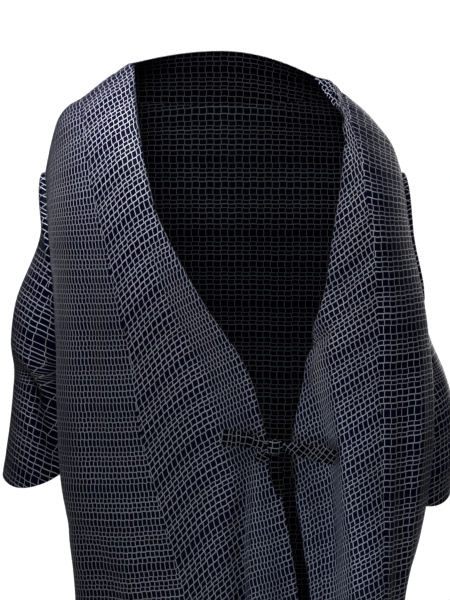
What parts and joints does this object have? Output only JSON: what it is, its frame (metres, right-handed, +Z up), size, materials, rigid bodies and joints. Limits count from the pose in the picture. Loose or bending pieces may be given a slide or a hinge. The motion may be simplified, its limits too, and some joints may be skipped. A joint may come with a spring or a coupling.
{
  "type": "kimono raincoat",
  "caption": "Full-length kimono raincoat in navy satin with a fine pale check, hollow as worn, open in front and held by a small cloth bow.",
  "frame": {"origin": "midway between the two points where the coat rests on the shoulders beside the neck", "axes": "+Z up, the front faces -Y, the wearer's left is +X"},
  "size_m": [0.5178, 0.3087, 1.2982],
  "materials": {
    "coat_satin": "navy polyester satin with a fine pale check, soft sheen",
    "tie_satin": "the same satin, folded and pressed into a narrow band"
  },
  "bodies": {
    "root": {"front_panel_right": "coat_satin", "front_panel_left": "coat_satin", "body_front_right": "coat_satin", "body_front_left": "coat_satin", "body_back_right": "coat_satin", "body_back_left": "coat_satin", "collar": "coat_satin", "sleeve_right": "coat_satin", "sleeve_left": "coat_satin", "tie_knot": "tie_satin", "tie_loop_right": "tie_satin", "tie_loop_left": "tie_satin", "tie_tail_long": "tie_satin", "tie_tail_short": "tie_satin", "tie_strap_left": "tie_satin"}
  },
  "joints": []
}
